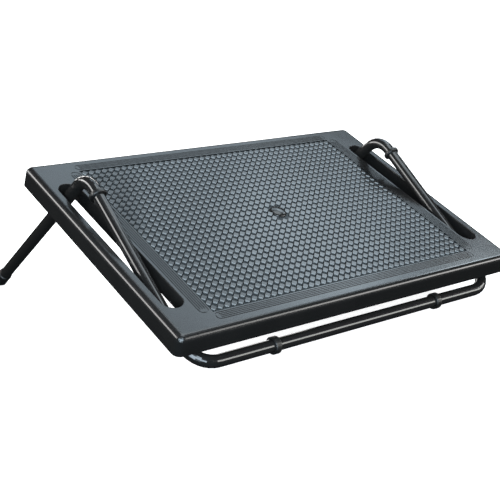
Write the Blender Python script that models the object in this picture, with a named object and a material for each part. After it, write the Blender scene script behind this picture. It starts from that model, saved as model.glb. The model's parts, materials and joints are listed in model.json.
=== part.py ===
"""Tilting laptop stand: a moulded deck with two side slots, resting on a bent tube frame whose
two inverted-V loops stand up through the slots. Metres, +Z up, desk at z = 0, front at -Y."""

import math

import bmesh
import bpy
from mathutils import Matrix, Vector

# Deck, in its own frame: x to the right, y back from the front edge, z up from the flat top
DECK_WIDTH = 0.430
DECK_DEPTH = 0.280
SKIRT_DEPTH = 0.020
DECK_WALL = 0.0030
CORNER_RADIUS = 0.0070
TOP_FILLET = 0.0060
DECK_TILT = math.radians(23.0)

# Side slots that the tube loops pass through
SLOT_INSET = 0.0225
SLOT_WIDTH = 0.0212
SLOT_WALL_DEPTH = 0.0150
SLOT_WALL = 0.0022
SLOT_RIM = 0.0010

# Shallow pocket for the raised pads, and the grooved bands round it
FIELD_MARGIN_SIDE = 0.0488
FIELD_MARGIN_FRONT = 0.0228
FIELD_MARGIN_REAR = 0.0212
FIELD_SINK = 0.0014
BAND_GAP = 0.0014
BAND_END_GAP = 0.0010
SIDE_BAND_WIDTH = 0.0105
FRONT_BAND_WIDTH = 0.0092
REAR_BAND_WIDTH = 0.0088
LINES_PER_BAND = 5
GROOVE_WIDTH = 0.0010
GROOVE_DEPTH = 0.0005
BOSS_RADIUS = 0.0088
BOSS_HEIGHT = 0.0022
BOSS_SET_BACK = 0.002
NOTCH_OFFSET = 0.070
NOTCH_WIDTH = 0.005
NOTCH_DEPTH = 0.0012

# Stiffening ribs under the deck
RIB_WALL = 0.0018
RIB_DEPTH = 0.0105
RIB_SINK = 0.0008
RIBS_ALONG = 5
RIBS_ACROSS = 3

# Bent tube frame
TUBE_RADIUS = 0.0060
TUBE_WALL = 0.0014
BEND_RADIUS = 0.025
LEG_INSET = 0.0220
FRONT_LEG_PITCH = math.radians(40.15)
REAR_LEG_PITCH = math.radians(36.07)
FRONT_LEG_REACH = 0.2167
FRONT_BEARING_REACH = 0.1778
SLOT_FRONT = 0.0383

# Rubber fittings
RING_RADIUS = 0.0083
RING_WIDTH = 0.0066
BAR_RING_OFFSET = 0.106
STOP_RADIUS = 0.0086
STOP_WIDTH = 0.0042
STOP_REACH = 0.0245
CAP_RADIUS = 0.0071
CAP_LENGTH = 0.027
CAP_FLOOR = 0.0025
CAP_TOE = 0.004

CLEARANCE = 0.0003
LEAST_FLAT = 0.00001
LEAST_CORNER = 0.001
GROUND_BLOCK = 0.05

# How finely round shapes are drawn
CORNER_STEPS = 7
SLOT_STEPS = 9
RIM_STEPS = 3
GROOVE_STEPS = 4
BOSS_STEPS = 6
TUBE_SIDES = 28
BEND_STEPS = 9
RING_STEPS = 8
SHARP_ANGLE = math.radians(35)

# Slots, legs and pads keep their distance from the deck's sides
slotCentre = DECK_WIDTH / 2 - SLOT_INSET
legCentre = DECK_WIDTH / 2 - LEG_INSET
fieldHalfWidth = DECK_WIDTH / 2 - FIELD_MARGIN_SIDE

# Where the frame's centre lines run, in the plane of each side
barHeight = RING_RADIUS
frontDirection = Vector((0.0, -math.cos(FRONT_LEG_PITCH), -math.sin(FRONT_LEG_PITCH)))
rearDirection = Vector((0.0, math.cos(REAR_LEG_PITCH), -math.sin(REAR_LEG_PITCH)))
apexHeight = barHeight + FRONT_LEG_REACH * math.sin(FRONT_LEG_PITCH)
rearReach = apexHeight / math.sin(REAR_LEG_PITCH)
frontReachY = FRONT_LEG_REACH * math.cos(FRONT_LEG_PITCH)
apexAngle = math.pi - FRONT_LEG_PITCH - REAR_LEG_PITCH
bore = TUBE_RADIUS + CLEARANCE
tubeEndGap = (CAP_FLOOR + bore * math.cos(REAR_LEG_PITCH)) / math.sin(REAR_LEG_PITCH)

# The slot's ends bear on the legs, so the deck's place follows from the legs and the tilt
outwardFront = Vector((0.0, -math.sin(FRONT_LEG_PITCH), math.cos(FRONT_LEG_PITCH)))
outwardRear = Vector((0.0, math.sin(REAR_LEG_PITCH), math.cos(REAR_LEG_PITCH)))
bisector = (outwardFront + outwardRear).normalized()
slotLength = FRONT_BEARING_REACH * math.sin(apexAngle) / math.sin(REAR_LEG_PITCH + DECK_TILT)
deckUp = Vector((0.0, -math.sin(DECK_TILT), math.cos(DECK_TILT)))
deckBack = Vector((0.0, math.cos(DECK_TILT), math.sin(DECK_TILT)))

# The whole part is centred front to back between the deck's front fillet and the caps' toes
apexFromBearing = bisector * bore / math.sin(apexAngle / 2)
edgeToOrigin = deckUp * SLOT_WALL_DEPTH - deckBack * SLOT_FRONT
filletToFront = (deckBack * TOP_FILLET - deckUp * TOP_FILLET).y - TOP_FILLET
frontmost = (apexFromBearing + frontDirection * FRONT_BEARING_REACH + edgeToOrigin).y + filletToFront
rearmost = (rearReach + CAP_TOE) * math.cos(REAR_LEG_PITCH) + CAP_RADIUS * math.sin(REAR_LEG_PITCH)
apexY = -(frontmost + rearmost) / 2
barY = apexY - frontReachY
bearingApex = Vector((0.0, apexY, apexHeight)) + apexFromBearing


def bearingPoints(tilt):
    """Where the slot's lower front and rear edges touch the legs at this tilt."""
    front = slotLength * math.sin(REAR_LEG_PITCH + tilt) / math.sin(apexAngle)
    rear = slotLength * math.sin(FRONT_LEG_PITCH - tilt) / math.sin(apexAngle)
    return bearingApex + frontDirection * front, bearingApex + rearDirection * rear


def poleOf(first, second, turn):
    """The point that a turn about X by this angle keeps still while it carries first to second."""
    middle = (first + second) / 2
    chord = second - first
    side = Vector((0.0, -chord.z, chord.y))
    return middle + side / (2 * math.tan(turn / 2))


frontEdge, rearEdge = bearingPoints(DECK_TILT)
frontLevel, rearLevel = bearingPoints(0.0)
hinge = poleOf(frontEdge, frontLevel, -DECK_TILT)

deckOrigin = frontEdge + edgeToOrigin
slotMiddle = SLOT_FRONT + slotLength / 2
hingeInDeck = Vector((0.0, (hinge - deckOrigin).dot(deckBack), (hinge - deckOrigin).dot(deckUp)))


def clearScene():
    for item in list(bpy.data.objects):
        bpy.data.objects.remove(item, do_unlink=True)


def material(name, colour, metallic, roughness):
    made = bpy.data.materials.new(name)
    made.use_nodes = True
    shader = made.node_tree.nodes["Principled BSDF"]
    shader.inputs["Base Color"].default_value = (*colour, 1.0)
    shader.inputs["Metallic"].default_value = metallic
    shader.inputs["Roughness"].default_value = roughness
    return made


def roundedLoop(halfX, halfY, radius, centre, z, steps=CORNER_STEPS):
    """Points of a rounded rectangle, anticlockwise, with the same count at any radius."""
    points = []
    for quarter, (sx, sy) in enumerate(((1, 1), (-1, 1), (-1, -1), (1, -1))):
        for step in range(steps + 1):
            turn = math.pi / 2 * (quarter + step / steps)
            x = sx * (halfX - radius) + radius * math.cos(turn)
            y = sy * (halfY - radius) + radius * math.sin(turn)
            points.append(Vector((centre[0] + x, centre[1] + y, z)))
    return points


def skinned(name, loops, closed=False):
    """A mesh object skinned over loops of equal length, with its ends capped or joined."""
    mesh = bpy.data.meshes.new(name)
    work = bmesh.new()
    rings = [[work.verts.new(point) for point in loop] for loop in loops]
    count = len(rings[0])
    pairs = list(zip(rings, rings[1:]))
    if closed:
        pairs.append((rings[-1], rings[0]))
    for low, high in pairs:
        for i in range(count):
            j = (i + 1) % count
            work.faces.new((low[i], low[j], high[j], high[i]))
    if not closed:
        work.faces.new(list(reversed(rings[0])))
        work.faces.new(rings[-1])
    bmesh.ops.recalc_face_normals(work, faces=work.faces[:])
    work.to_mesh(mesh)
    work.free()
    made = bpy.data.objects.new(name, mesh)
    bpy.context.scene.collection.objects.link(made)
    return made


def asCutter(item):
    item.hide_render = True
    item.display_type = "WIRE"
    return item


def boolean(target, other, operation):
    modifier = target.modifiers.new(other.name, "BOOLEAN")
    modifier.operation = operation
    modifier.solver = "EXACT"
    modifier.object = asCutter(other)


def stadiumLoops(profile, centre, width, length, steps):
    """Loops of a slot shape, grown outwards by the first value of each profile pair."""
    loops = []
    for grow, z in profile:
        halfX = width / 2 + grow
        halfY = length / 2 + grow
        loops.append(roundedLoop(halfX, halfY, min(halfX, halfY) - LEAST_FLAT, centre, z, steps))
    return loops


def inDeck(item):
    """Moves a mesh built in the deck's frame so that the object's origin lies on the tilt axis."""
    item.data.transform(Matrix.Translation(-hingeInDeck))
    item.rotation_euler = (DECK_TILT, 0.0, 0.0)
    item.location = hinge
    return item


def smooth(item):
    for face in item.data.polygons:
        face.use_smooth = True
    item.data.set_sharp_from_angle(angle=SHARP_ANGLE)


def deckShell():
    """The outer skin, over the fillet and back down inside the skirt, as one closed lofting."""
    halfX, halfY = DECK_WIDTH / 2, DECK_DEPTH / 2
    centre = (0.0, halfY)
    profile = [(0.0, -SKIRT_DEPTH)]
    for step in range(CORNER_STEPS + 1):
        turn = math.pi / 2 * step / CORNER_STEPS
        profile.append((TOP_FILLET * (1 - math.cos(turn)), TOP_FILLET * (math.sin(turn) - 1)))
    loops = [roundedLoop(halfX - inset, halfY - inset, CORNER_RADIUS - inset, centre, z)
             for inset, z in reversed(profile)]
    inner = max(CORNER_RADIUS - DECK_WALL, LEAST_CORNER)
    for inset, z in ((DECK_WALL, -SKIRT_DEPTH), (DECK_WALL, -DECK_WALL)):
        loops.append(roundedLoop(halfX - inset, halfY - inset, inner, centre, z))
    return skinned("deck", loops)


def addUnderRibs(target):
    """A crossed grid of ribs under the plate, between the two slot walls."""
    span = 2 * slotCentre - SLOT_WIDTH - SLOT_WALL
    top = RIB_SINK - DECK_WALL
    bottom = -DECK_WALL - RIB_DEPTH
    for index in range(RIBS_ALONG):
        x = span * ((index + 1) / (RIBS_ALONG + 1) - 0.5)
        rib = box(f"ribAlong{index}", x, RIB_WALL, DECK_DEPTH / 2, DECK_DEPTH + 2 * top, bottom, top)
        boolean(target, inDeck(rib), "UNION")
    for index in range(RIBS_ACROSS):
        y = DECK_DEPTH * (index + 1) / (RIBS_ACROSS + 1)
        rib = box(f"ribAcross{index}", 0.0, span, y, RIB_WALL, bottom, top)
        boolean(target, inDeck(rib), "UNION")


def box(name, x, sizeX, y, sizeY, low, high):
    corners = [(x + sx * sizeX / 2, y + sy * sizeY / 2) for sx, sy in ((1, 1), (-1, 1), (-1, -1), (1, -1))]
    return skinned(name, [[Vector((cx, cy, z)) for cx, cy in corners] for z in (low, high)])


def circle(centre, first, second, radius):
    return [centre + (first * math.cos(turn) + second * math.sin(turn)) * radius
            for turn in (2 * math.pi * index / TUBE_SIDES for index in range(TUBE_SIDES))]


def tube(name, path, outer, inner):
    """A hollow tube along a path, open at both ends."""
    outerLoops, innerLoops = [], []
    normal = Vector((1.0, 0.0, 0.0))
    for index, point in enumerate(path):
        along = (path[min(index + 1, len(path) - 1)] - path[max(index - 1, 0)]).normalized()
        normal = (normal - along * normal.dot(along)).normalized()
        outerLoops.append(circle(point, normal, along.cross(normal), outer))
        innerLoops.append(circle(point, normal, along.cross(normal), inner))
    return skinned(name, outerLoops + innerLoops[::-1], closed=True)


def bendPoints(before, corner, after, radius):
    """Points along the arc that rounds this corner of a path."""
    toBefore = (before - corner).normalized()
    toAfter = (after - corner).normalized()
    angle = toBefore.angle(toAfter)
    reach = radius / math.tan(angle / 2)
    centre = corner + (toBefore + toAfter).normalized() * radius / math.sin(angle / 2)
    start = corner + toBefore * reach - centre
    end = corner + toAfter * reach - centre
    turn = math.pi - angle
    return [centre + (start * math.sin(turn * (1 - share)) + end * math.sin(turn * share)) / math.sin(turn)
            for share in (step / BEND_STEPS for step in range(BEND_STEPS + 1))]


def framePath():
    corners = []
    for side in (-1, 1):
        x = side * legCentre
        apex = Vector((x, apexY, apexHeight))
        half = [apex + rearDirection * (rearReach - tubeEndGap), apex, Vector((x, barY, barHeight))]
        corners += half if side < 0 else list(reversed(half))
    path = [corners[0]]
    for before, corner, after in zip(corners, corners[1:], corners[2:]):
        path += bendPoints(before, corner, after, BEND_RADIUS)
    path.append(corners[-1])
    return path


def turned(name, profile, place, axis, closed=True):
    """A body of revolution: the profile's pairs are radius and distance along the axis."""
    first = axis.orthogonal().normalized()
    second = axis.cross(first)
    made = skinned(name, [circle(axis * along, first, second, radius) for radius, along in profile], closed)
    made.location = place
    return made


def ringProfile(outer, width, inner):
    """The cross-section of a rubber ring: a straight bore and a rounded outside."""
    rounding = (outer - inner) / 2
    half = width / 2
    profile = [(inner, half), (inner, -half)]
    for step in range(RING_STEPS + 1):
        turn = math.pi * step / RING_STEPS
        flat = -(half - rounding) if turn < math.pi / 2 else half - rounding
        profile.append((inner + rounding * (1 + math.sin(turn)), flat - rounding * math.cos(turn)))
    return profile


def addBand(target, label, place, width, length, across):
    """Fine grooves along one side of the field: a slot-shaped outline with straight lines inside it."""
    def cut(name, outline, closed=False):
        if across:
            outline = [[Vector((point.y, -point.x, point.z)) for point in loop] for loop in outline]
        groove = skinned(name, outline, closed)
        groove.data.transform(Matrix.Translation((*place, 0.0)))
        boolean(target, inDeck(groove), "DIFFERENCE")

    edge = ((0.0, -GROOVE_DEPTH), (0.0, GROOVE_DEPTH))
    inside = ((-GROOVE_WIDTH, GROOVE_DEPTH), (-GROOVE_WIDTH, -GROOVE_DEPTH))
    cut(f"outline{label}", stadiumLoops(edge + inside, (0.0, 0.0), width, length, GROOVE_STEPS), True)
    spacing = (width - GROOVE_WIDTH) / (LINES_PER_BAND - 1)
    for index in range(1, LINES_PER_BAND - 1):
        shift = index * spacing - (width - GROOVE_WIDTH) / 2
        line = stadiumLoops(edge, (shift, 0.0), GROOVE_WIDTH, length - width, GROOVE_STEPS)
        cut(f"line{label}{index}", line)


clearScene()

deckPlastic = material("deckPlastic", (0.030, 0.034, 0.038), 0.0, 0.32)
blackPaint = material("blackPaint", (0.012, 0.012, 0.012), 0.0, 0.22)
blackRubber = material("blackRubber", (0.014, 0.014, 0.014), 0.0, 0.72)

# Deck: a tray with two sleeved slots, ribs underneath, and a pocket with a boss on top
deck = inDeck(deckShell())
slots = [(label, (side * slotCentre, slotMiddle)) for side, label in ((-1, "Left"), (1, "Right"))]
sleeveProfile = [(SLOT_WALL, -SLOT_WALL_DEPTH), (SLOT_WALL, -DECK_WALL / 2)]
for label, centre in slots:
    sleeve = stadiumLoops(sleeveProfile, centre, SLOT_WIDTH, slotLength, SLOT_STEPS)
    boolean(deck, inDeck(skinned(f"sleeve{label}", sleeve)), "UNION")
addUnderRibs(deck)

rimProfile = [(0.0, -SKIRT_DEPTH), (0.0, -SLOT_RIM)]
for step in range(1, RIM_STEPS + 1):
    turn = math.pi / 2 * step / RIM_STEPS
    rimProfile.append((SLOT_RIM * (1 - math.cos(turn)), SLOT_RIM * (math.sin(turn) - 1)))
rimProfile.append((SLOT_RIM, SLOT_RIM))
for label, centre in slots:
    opening = stadiumLoops(rimProfile, centre, SLOT_WIDTH, slotLength, SLOT_STEPS)
    boolean(deck, inDeck(skinned(f"slot{label}", opening)), "DIFFERENCE")

fieldRear = DECK_DEPTH - FIELD_MARGIN_REAR
fieldMiddle = (FIELD_MARGIN_FRONT + fieldRear) / 2
fieldLength = fieldRear - FIELD_MARGIN_FRONT
field = box("field", 0.0, 2 * fieldHalfWidth, fieldMiddle, fieldLength, -FIELD_SINK, FIELD_SINK)
boolean(deck, inDeck(field), "DIFFERENCE")

bossFoot = -FIELD_SINK / 2
bossProfile = [(BOSS_RADIUS, bossFoot - DECK_WALL / 2), (BOSS_RADIUS, bossFoot)]
for step in range(1, BOSS_STEPS):
    turn = math.pi / 2 * step / BOSS_STEPS
    bossProfile.append((BOSS_RADIUS * math.cos(turn), bossFoot + (BOSS_HEIGHT - bossFoot) * math.sin(turn)))
boss = turned("boss", bossProfile, Vector(), Vector((0.0, 0.0, 1.0)), closed=False)
boss.data.transform(Matrix.Translation((0.0, DECK_DEPTH / 2 + BOSS_SET_BACK, 0.0)))
boolean(deck, inDeck(boss), "UNION")

sideBandX = fieldHalfWidth + BAND_GAP + SIDE_BAND_WIDTH / 2
frontBandY = FIELD_MARGIN_FRONT - BAND_GAP - FRONT_BAND_WIDTH / 2
rearBandY = fieldRear + BAND_GAP + REAR_BAND_WIDTH / 2
for side, label in ((-1, "Left"), (1, "Right")):
    sideLength = fieldLength - 2 * BAND_END_GAP
    addBand(deck, label, (side * sideBandX, fieldMiddle), SIDE_BAND_WIDTH, sideLength, False)
acrossLength = 2 * (fieldHalfWidth + BAND_GAP)
addBand(deck, "Front", (0.0, frontBandY), FRONT_BAND_WIDTH, acrossLength, True)
addBand(deck, "Rear", (0.0, rearBandY), REAR_BAND_WIDTH, acrossLength, True)

for side, label in ((-1, "Left"), (1, "Right")):
    notch = box(f"notch{label}", side * NOTCH_OFFSET, NOTCH_WIDTH, DECK_DEPTH, 2 * NOTCH_DEPTH,
                -TOP_FILLET, NOTCH_DEPTH)
    boolean(deck, inDeck(notch), "DIFFERENCE")
deck.data.materials.append(deckPlastic)
smooth(deck)

# Bent tube frame, open at both rear ends
frame = tube("tube_frame", framePath(), TUBE_RADIUS, TUBE_RADIUS - TUBE_WALL)
frame.data.materials.append(blackPaint)
smooth(frame)

# Rubber rings: two stops below the upper bends, two feet on the front bar
for side, label in ((-1, "left"), (1, "right")):
    apex = Vector((side * legCentre, apexY, apexHeight))
    stop = turned(f"stop_ring_{label}", ringProfile(STOP_RADIUS, STOP_WIDTH, bore),
                  apex + frontDirection * STOP_REACH, frontDirection)
    foot = turned(f"bar_ring_{label}", ringProfile(RING_RADIUS, RING_WIDTH, bore),
                  Vector((side * BAR_RING_OFFSET, barY, barHeight)), Vector((1.0, 0.0, 0.0)))
    for ring in (stop, foot):
        ring.data.materials.append(blackRubber)
        smooth(ring)

# Rubber caps on the rear ends, cut flat where they stand on the desk
for side, label in ((-1, "left"), (1, "right")):
    tip = Vector((side * legCentre, apexY, apexHeight)) + rearDirection * rearReach
    edge = CAP_RADIUS - TUBE_RADIUS
    cap = turned(f"rear_cap_{label}", ((CAP_RADIUS - edge, -CAP_LENGTH), (CAP_RADIUS, edge - CAP_LENGTH),
                                       (CAP_RADIUS, CAP_TOE)), tip, rearDirection, closed=False)
    socket = turned(f"socket_{label}", ((bore, -2 * CAP_LENGTH), (bore, CLEARANCE - tubeEndGap)),
                    tip, rearDirection, closed=False)
    boolean(cap, socket, "DIFFERENCE")
    ground = box(f"ground_{label}", tip.x, GROUND_BLOCK, tip.y, GROUND_BLOCK, -GROUND_BLOCK, 0.0)
    boolean(cap, ground, "DIFFERENCE")
    cap.data.materials.append(blackRubber)
    smooth(cap)
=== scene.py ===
import json
import math

import bpy
from mathutils import Matrix, Vector


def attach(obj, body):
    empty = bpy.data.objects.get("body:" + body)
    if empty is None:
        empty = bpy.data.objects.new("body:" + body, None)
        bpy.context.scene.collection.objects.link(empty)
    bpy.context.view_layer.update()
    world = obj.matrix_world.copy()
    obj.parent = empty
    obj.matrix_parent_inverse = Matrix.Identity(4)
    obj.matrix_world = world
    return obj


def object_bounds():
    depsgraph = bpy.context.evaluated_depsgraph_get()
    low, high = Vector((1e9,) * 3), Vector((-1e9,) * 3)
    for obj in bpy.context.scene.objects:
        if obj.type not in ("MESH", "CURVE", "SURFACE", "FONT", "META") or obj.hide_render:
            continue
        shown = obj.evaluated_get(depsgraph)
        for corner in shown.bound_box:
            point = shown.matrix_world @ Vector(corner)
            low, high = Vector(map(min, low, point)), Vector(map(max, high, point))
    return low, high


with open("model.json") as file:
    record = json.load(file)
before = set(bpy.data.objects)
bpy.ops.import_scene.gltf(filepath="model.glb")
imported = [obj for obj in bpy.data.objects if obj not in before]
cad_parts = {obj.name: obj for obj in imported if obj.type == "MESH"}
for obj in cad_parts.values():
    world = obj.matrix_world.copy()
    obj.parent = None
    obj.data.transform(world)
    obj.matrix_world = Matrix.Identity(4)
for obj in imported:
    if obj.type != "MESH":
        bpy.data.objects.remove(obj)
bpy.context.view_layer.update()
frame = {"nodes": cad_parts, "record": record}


print("frame loaded:", ", ".join(sorted(frame["nodes"])))

# The deck's own axes: x to the right, y up its slope from the front edge, z out of its flat top
rests = {mount["name"]: mount for mount in frame["record"]["mounts"]}
deckUp = Vector(rests["laptop_rest_left"]["axis"]).normalized()
deckBack = deckUp.cross(Vector((1, 0, 0)))
onTop = Vector(rests["laptop_rest_left"]["pos_m"])
onTop.x = 0
deckAxes = Matrix(((1, 0, 0), deckBack, deckUp))  # rows, so it turns the part's axes into the deck's
deckPoints = [deckAxes @ (vertex.co - onTop) for vertex in frame["nodes"]["deck"].data.vertices]
frontEdge = min(point.y for point in deckPoints)
deckPoints = [point - Vector((0, frontEdge, 0)) for point in deckPoints]
deckToPart = Matrix.Translation(onTop + deckBack * frontEdge) @ deckAxes.transposed().to_4x4()
print("deck tilt, degrees:", round(math.degrees(deckUp.angle(Vector((0, 0, 1)))), 2))


class Wire:  # one node output, so that a sum of outputs reads as a sum
    def __init__(self, finish, socket):
        self.finish = finish
        self.socket = socket

    def combine(self, operation, first, second):
        return self.finish.node("ShaderNodeMath", {"operation": operation}, {0: first, 1: second})

    def __add__(self, other):
        return self.combine("ADD", self, other)

    def __radd__(self, other):
        return self.combine("ADD", other, self)

    def __sub__(self, other):
        return self.combine("SUBTRACT", self, other)

    def __rsub__(self, other):
        return self.combine("SUBTRACT", other, self)

    def __mul__(self, other):
        return self.combine("MULTIPLY", self, other)

    def __rmul__(self, other):
        return self.combine("MULTIPLY", other, self)


class Finish:  # the nodes of a material, or of the room
    def __init__(self, owner, shader="Principled BSDF"):
        owner.use_nodes = True
        self.owner = owner
        self.tree = owner.node_tree
        self.shader = self.tree.nodes[shader]

    def feed(self, socket, value):
        if isinstance(value, Wire):
            self.tree.links.new(value.socket, socket)
        elif socket.type == "RGBA":
            socket.default_value = (*value, 1)
        else:
            socket.default_value = value

    def node(self, kind, settings=None, feeds=None, out=0):
        made = self.tree.nodes.new(kind)
        for setting, value in (settings or {}).items():
            setattr(made, setting, value)
        for socket, value in (feeds or {}).items():
            self.feed(made.inputs[socket], value)
        return Wire(self, made.outputs[out])

    def paint(self, feeds):
        for socket, value in feeds.items():
            self.feed(self.shader.inputs[socket], value)

    def place(self):  # where a point of the surface is on the part
        return self.node("ShaderNodeTexCoord", out="Object")

    def noise(self, place, scale, detail):
        return self.node("ShaderNodeTexNoise", feeds={"Vector": place, "Scale": scale, "Detail": detail})

    def between(self, share, first, second):  # sockets 6 and 7 are the mix's two colours
        return self.node("ShaderNodeMix", {"data_type": "RGBA"}, {0: share, 6: first, 7: second}, out=2)

    def steep(self, share, low, high):
        feeds = {"Value": share, "From Min": low, "From Max": high}
        return self.node("ShaderNodeMapRange", {"interpolation_type": "SMOOTHSTEP"}, feeds)

    def vectors(self, operation, first, second, out=0):
        return self.node("ShaderNodeVectorMath", {"operation": operation}, {0: first, 1: second}, out)

    def bump(self, height, depth, under=None):
        feeds = {"Height": height, "Distance": depth, "Strength": 1.0}
        if under is not None:
            feeds["Normal"] = under
        return self.node("ShaderNodeBump", feeds=feeds)


pocketPlan = {  # the sunken field that the pads stand in, on the deck's axes
    "half": 0.175,
    "front": 0.015,
    "rear": 0.265,
    "low": -0.0020,  # its floor lies between these two heights
    "high": -0.0008,
    "maskTop": -0.0007,
    "maskBottom": -0.0010,
    "maskEdge": 0.001,
}


def pocketMask(finish, place):  # one on the pocket's floor, nought elsewhere
    plan = pocketPlan
    across = finish.node("ShaderNodeSeparateXYZ", feeds={0: place})
    aside = finish.node("ShaderNodeMath", {"operation": "ABSOLUTE"}, {0: across})
    fromEdge = finish.vectors("SUBTRACT", place, deckToPart.translation)
    back = finish.vectors("DOT_PRODUCT", fromEdge, deckBack, out=1)
    up = finish.vectors("DOT_PRODUCT", fromEdge, deckUp, out=1)
    low = finish.steep(up, plan["maskTop"], plan["maskBottom"])
    inward = finish.steep(aside, plan["half"], plan["half"] - plan["maskEdge"])
    behind = finish.steep(back, plan["front"], plan["front"] + plan["maskEdge"])
    before = finish.steep(back, plan["rear"], plan["rear"] - plan["maskEdge"])
    return low * inward * behind * before


plasticPlan = {
    "colour": (0.0078, 0.0078, 0.0078),
    "colourPale": (0.0112, 0.0110, 0.0108),
    "cloudScale": 22.0,
    "cloudDetail": 4.0,
    "cloudShare": 0.6,  # of the mottle; the grain makes up the rest
    "paleFrom": 0.3,
    "paleTo": 0.7,
    "roughness": 0.22,
    "roughnessSpread": 0.10,
    "grainScale": 2400.0,
    "grainDetail": 3.0,
    "grainDepth": 0.000008,
    "waveScale": 60.0,
    "waveDetail": 1.0,
    "waveDepth": 0.00008,
    "pocketRoughness": 0.42,  # added where the floor between the pads is left matt
    # painted sheen: a pale bluish tint on the matt floor between the pads, standing in for the bluish
    # softbox light
    "pocketPaintedSheen": (0.0085, 0.0125, 0.0155),
    "ior": 1.5,
}


def plasticFinish():
    plan = plasticPlan
    finish = Finish(bpy.data.materials.new("satinDeckPlastic"))
    place = finish.place()
    cloud = finish.noise(place, plan["cloudScale"], plan["cloudDetail"])
    grain = finish.noise(place, plan["grainScale"], plan["grainDetail"])
    wave = finish.noise(place, plan["waveScale"], plan["waveDetail"])
    mottle = cloud * plan["cloudShare"] + grain * (1 - plan["cloudShare"])
    sunk = pocketMask(finish, place)
    satin = plan["roughness"] + (mottle - 0.5) * plan["roughnessSpread"]
    pale = finish.steep(mottle, plan["paleFrom"], plan["paleTo"])
    body = finish.between(pale, plan["colour"], plan["colourPale"])
    finish.paint({
        # the floor between the pads gets a painted bluish sheen in place of the mottled plastic colour
        "Base Color": finish.between(sunk, body, plan["pocketPaintedSheen"]),
        "Roughness": satin + sunk * plan["pocketRoughness"],
        "Normal": finish.bump(grain, plan["grainDepth"], finish.bump(wave, plan["waveDepth"])),
        "IOR": plan["ior"],
    })
    return finish.owner


paintPlan = {
    "colour": (0.0085, 0.0083, 0.0081),
    "colourPale": (0.0130, 0.0126, 0.0122),
    "cloudScale": 30.0,
    "cloudDetail": 3.0,
    "roughness": 0.13,
    "roughnessSpread": 0.08,
    "peelScale": 380.0,
    "peelDetail": 2.0,
    "peelDepth": 0.00003,
    "ior": 1.52,
}


def paintFinish():
    plan = paintPlan
    finish = Finish(bpy.data.materials.new("glossFramePaint"))
    place = finish.place()
    cloud = finish.noise(place, plan["cloudScale"], plan["cloudDetail"])
    peel = finish.noise(place, plan["peelScale"], plan["peelDetail"])
    finish.paint({
        "Base Color": finish.between(cloud, plan["colour"], plan["colourPale"]),
        "Roughness": plan["roughness"] + (cloud - 0.5) * plan["roughnessSpread"],
        "Normal": finish.bump(peel, plan["peelDepth"]),
        "IOR": plan["ior"],
    })
    return finish.owner


rubberPlan = {
    "colour": (0.0050, 0.0049, 0.0048),
    "colourPale": (0.0120, 0.0117, 0.0114),
    "cloudScale": 140.0,
    "cloudDetail": 4.0,
    "paleFrom": 0.35,
    "paleTo": 0.75,
    "roughness": 0.40,
    "roughnessSpread": 0.20,
    "grainScale": 1600.0,
    "grainDetail": 2.0,
    "grainDepth": 0.00005,
    "ior": 1.48,
}


def rubberFinish():
    plan = rubberPlan
    finish = Finish(bpy.data.materials.new("blackRubber"))
    place = finish.place()
    cloud = finish.noise(place, plan["cloudScale"], plan["cloudDetail"])
    grain = finish.noise(place, plan["grainScale"], plan["grainDetail"])
    pale = finish.steep(cloud, plan["paleFrom"], plan["paleTo"])
    finish.paint({
        "Base Color": finish.between(pale, plan["colour"], plan["colourPale"]),
        "Roughness": plan["roughness"] + (cloud - 0.5) * plan["roughnessSpread"],
        "Normal": finish.bump(grain, plan["grainDepth"]),
        "IOR": plan["ior"],
    })
    return finish.owner


finishes = {"deck_plastic": plasticFinish(), "frame_paint": paintFinish(), "rubber": rubberFinish()}
for part in frame["record"]["subparts"]:
    look = frame["nodes"][part["node"]].data.materials
    look.clear()
    look.append(finishes[part["material_slot"]])
print("finishes laid on", len(frame["nodes"]), "carried-over pieces")


def rungs(count, sides, base=0):  # the side faces between stacked rings of points
    faces = []
    for ring in range(count - 1):
        start = base + ring * sides
        for side in range(sides):
            after = (side + 1) % sides
            faces.append((start + side, start + after, start + sides + after, start + sides + side))
    return faces


def deckPiece(name, points, faces, sharpAngle):  # given on the deck's axes
    mesh = bpy.data.meshes.new(name)
    mesh.from_pydata([deckToPart @ point for point in points], [], faces)
    mesh.materials.append(finishes["deck_plastic"])
    mesh.shade_smooth()
    mesh.set_sharp_from_angle(angle=sharpAngle)
    piece = bpy.data.objects.new(name, mesh)
    bpy.context.scene.collection.objects.link(piece)
    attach(piece, "deck")


padPlan = {
    "columns": 44,
    "rows": 31,
    "pitch": 0.00754,
    "profile": ((0.0060, 0.0011, 0.0),  # side, corner cut and share of the height
                (0.0049, 0.0005, 0.86),
                (0.0046, 0.0004, 1.0)),
    "stand": 0.0003,  # how far the pads rise above the flat top
    "sink": 0.0001,
    "bossReach": 0.0103,  # no pad is centred nearer the boss than this
    "sharpAngle": math.radians(38),
}
crown = [point for point in deckPoints if point.z > padPlan["stand"]]  # only the boss is that high
bossY = sum(point.y for point in crown) / len(crown)


def diamond(side, cut, centre, z):  # a square standing on its corner, each corner cut off
    reach = side / math.sqrt(2)
    corners = [Vector((reach, 0)), Vector((0, reach)), Vector((-reach, 0)), Vector((0, -reach))]
    points = []
    for index, corner in enumerate(corners):
        for other in (corners[index - 1], corners[(index + 1) % len(corners)]):
            point = corner + (other - corner).normalized() * cut
            points.append(Vector((centre[0] + point.x, centre[1] + point.y, z)))
    return points


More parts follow.
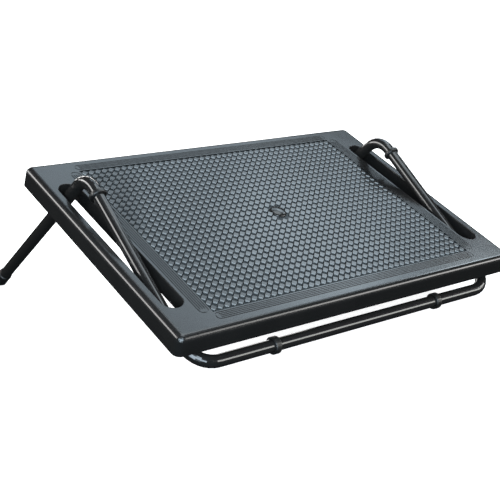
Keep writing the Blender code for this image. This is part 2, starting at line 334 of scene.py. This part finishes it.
def raisedPads():
    plan, pocket = padPlan, pocketPlan
    sunk = [point for point in deckPoints
            if pocket["low"] < point.z < pocket["high"] and abs(point.x) < pocket["half"]
            and pocket["front"] < point.y < pocket["rear"]]
    low = sum(point.z for point in sunk) / len(sunk) - plan["sink"]
    middleY = (min(point.y for point in sunk) + max(point.y for point in sunk)) / 2
    points, faces, made = [], [], 0
    for column in range(plan["columns"]):
        for row in range(plan["rows"]):
            x = (column - (plan["columns"] - 1) / 2) * plan["pitch"]
            y = middleY + (row - (plan["rows"] - 1) / 2) * plan["pitch"]
            if math.hypot(x, y - bossY) < plan["bossReach"]:
                continue
            base = len(points)
            for side, cut, share in plan["profile"]:
                ring = diamond(side, cut, (x, y), low + share * (plan["stand"] - low))
                points += ring
            sides = len(ring)
            faces.append(list(reversed(range(base, base + sides))))
            faces += rungs(len(plan["profile"]), sides, base)
            faces.append(list(range(len(points) - sides, len(points))))
            made += 1
    deckPiece("deck_pads", points, faces, plan["sharpAngle"])
    return made


print("pads raised on the deck:", raisedPads())

bossPlan = {
    "sides": 72,
    "rings": 14,
    "search": 0.012,  # how far round its middle, and down to what height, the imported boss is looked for
    "searchLow": -0.0010,
    "cover": 0.0001,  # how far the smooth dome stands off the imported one
    "footDepth": 0.0007,
    "sharpAngle": math.radians(38),
}


def smoothBoss():
    plan = bossPlan
    near = [point for point in deckPoints
            if point.z > plan["searchLow"] and math.hypot(point.x, point.y - bossY) < plan["search"]]
    radius = max(math.hypot(point.x, point.y - bossY) for point in near) + plan["cover"]
    foot = min(point.z for point in near)
    top = max(point.z for point in near) + plan["cover"]
    profile = [(radius, foot - plan["footDepth"])]
    for ring in range(plan["rings"]):
        rise = math.pi / 2 * ring / plan["rings"]
        profile.append((radius * math.cos(rise), foot + (top - foot) * math.sin(rise)))
    sides = plan["sides"]
    points = []
    for reach, z in profile:
        for side in range(sides):
            turn = 2 * math.pi * side / sides
            points.append(Vector((reach * math.cos(turn), bossY + reach * math.sin(turn), z)))
    tip = len(points)
    points.append(Vector((0, bossY, top)))
    faces = [list(reversed(range(sides)))] + rungs(len(profile), sides)
    faces += [(tip - sides + side, tip - sides + (side + 1) % sides, tip) for side in range(sides)]
    deckPiece("deck_boss", points, faces, plan["sharpAngle"])
    return radius


print("boss radius, m:", round(smoothBoss(), 5))

floorPlan = {
    "half": 40.0,
    "colour": (0.62, 0.62, 0.62),
    "glowColour": (1.0, 1.0, 1.0),
    "glow": 0.85,  # keeps the shade under the part light
}


def addFloor():
    plan = floorPlan
    half = plan["half"]
    corners = [(-half, -half, 0), (half, -half, 0), (half, half, 0), (-half, half, 0)]
    mesh = bpy.data.meshes.new("floor")
    mesh.from_pydata(corners, [], [(0, 1, 2, 3)])
    finish = Finish(bpy.data.materials.new("paleFloor"))
    finish.paint({"Base Color": plan["colour"], "Roughness": 1.0, "Specular IOR Level": 0.0,
                  "Emission Color": plan["glowColour"], "Emission Strength": plan["glow"]})
    mesh.materials.append(finish.owner)
    floor = bpy.data.objects.new("floor", mesh)
    bpy.context.scene.collection.objects.link(floor)
    floor.visible_glossy = False  # the part mirrors a dark room below, not the bright floor
    floor.visible_diffuse = False


# Lights stand round the part's middle, each turned to face it: azimuth from the rear towards the
# right, elevation and roll in degrees, distance, width and height in metres
lightPlan = {
    "softbox": {
        "azimuth": 58, "elevation": 50, "roll": 18, "distance": 1.6, "width": 1.16, "height": 0.66,
        "radiance": 2.3, "colour": (0.72, 0.88, 1.00)},
    "softboxHeart": {
        "azimuth": 69, "elevation": 45, "roll": 18, "distance": 1.5, "width": 0.42, "height": 0.22,
        "radiance": 3.2, "colour": (0.78, 0.91, 1.00)},
    "softboxEnd": {
        "azimuth": 92, "elevation": 36, "roll": 18, "distance": 1.5, "width": 0.36, "height": 0.20,
        "radiance": 9.0, "colour": (0.80, 0.92, 1.00)},
    "stripRight": {
        "azimuth": 138, "elevation": 9, "roll": 0, "distance": 1.6, "width": 1.60, "height": 0.42,
        "radiance": 7.6, "colour": (1.00, 0.99, 0.96)},
    "stripLeft": {
        "azimuth": -52, "elevation": 26, "roll": 0, "distance": 1.6, "width": 1.60, "height": 0.50,
        "radiance": 9.0, "colour": (1.00, 0.99, 0.97)},
    "stripRear": {
        "azimuth": 22, "elevation": 12, "roll": 0, "distance": 1.6, "width": 1.20, "height": 0.50,
        "radiance": 3.5, "colour": (1.00, 0.99, 0.97)},
    "overhead": {
        "azimuth": 122, "elevation": 74, "roll": 0, "distance": 1.6, "width": 1.10, "height": 0.90,
        "radiance": 4.0, "colour": (0.84, 0.94, 1.00)},
    "byCamera": {
        "azimuth": -141, "elevation": 5, "roll": 0, "distance": 1.6, "width": 1.40, "height": 1.20,
        "radiance": 11.5, "colour": (0.72, 0.88, 1.00)},
}


def addLight(name, plan, middle):
    azimuth, elevation = math.radians(plan["azimuth"]), math.radians(plan["elevation"])
    level = math.cos(elevation)
    out = Vector((math.sin(azimuth) * level, math.cos(azimuth) * level, math.sin(elevation)))
    lamp = bpy.data.lights.new(name, "AREA")
    lamp.shape = "RECTANGLE"
    lamp.size = plan["width"]
    lamp.size_y = plan["height"]
    lamp.color = plan["colour"]
    lamp.energy = plan["radiance"] * math.pi * plan["width"] * plan["height"]
    light = bpy.data.objects.new(name, lamp)
    facing = out.to_track_quat("Z", "Y").to_matrix().to_4x4()
    roll = Matrix.Rotation(math.radians(plan["roll"]), 4, "Z")
    light.matrix_world = Matrix.Translation(middle + out * plan["distance"]) @ facing @ roll
    light.visible_camera = False
    bpy.context.scene.collection.objects.link(light)


skyPlan = {
    "strength": 2.0,
    "spreadDegrees": 100.0,
}


def addSky():
    lamp = bpy.data.lights.new("skylight", "SUN")
    lamp.energy = skyPlan["strength"]
    lamp.angle = math.radians(skyPlan["spreadDegrees"])
    light = bpy.data.objects.new("skylight", lamp)
    light.visible_glossy = False
    bpy.context.scene.collection.objects.link(light)


roomPlan = {
    "seen": (1.0, 1.0, 1.0),
    "reflected": (0.020, 0.021, 0.022),
}


def addRoom():  # white behind the part, and dark where the part mirrors it
    finish = Finish(bpy.data.worlds.new("room"), "Background")
    direct = finish.node("ShaderNodeLightPath", out="Is Camera Ray")
    finish.paint({"Color": finish.between(direct, roomPlan["reflected"], roomPlan["seen"])})
    bpy.context.scene.world = finish.owner


cameraPlan = {
    "place": (-0.6770, -0.4990, 0.5142),  # on the deck's axes
    "lookAt": (0.0045, 0.1690, -0.0671),
    "rollDegrees": -0.14,
    "lens": 75.46,  # mm
    "sensor": 36,  # mm
}


def addCamera():
    plan = cameraPlan
    place = deckToPart @ Vector(plan["place"])
    ahead = deckToPart @ Vector(plan["lookAt"]) - place
    eye = bpy.data.cameras.new("camera")
    eye.sensor_width = plan["sensor"]
    eye.lens = plan["lens"]
    camera = bpy.data.objects.new("camera", eye)
    facing = ahead.to_track_quat("-Z", "Y").to_matrix().to_4x4()
    roll = Matrix.Rotation(math.radians(plan["rollDegrees"]), 4, "Z")
    camera.matrix_world = Matrix.Translation(place) @ facing @ roll
    bpy.context.scene.collection.objects.link(camera)
    bpy.context.scene.camera = camera


lowest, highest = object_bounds()
partMiddle = (Vector(lowest) + Vector(highest)) / 2
addFloor()
for lightName, lightValues in lightPlan.items():
    addLight(lightName, lightValues, partMiddle)
addSky()
addRoom()
addCamera()
bpy.context.scene.view_settings.view_transform = "Standard"
print("floor, lights and camera are in place")
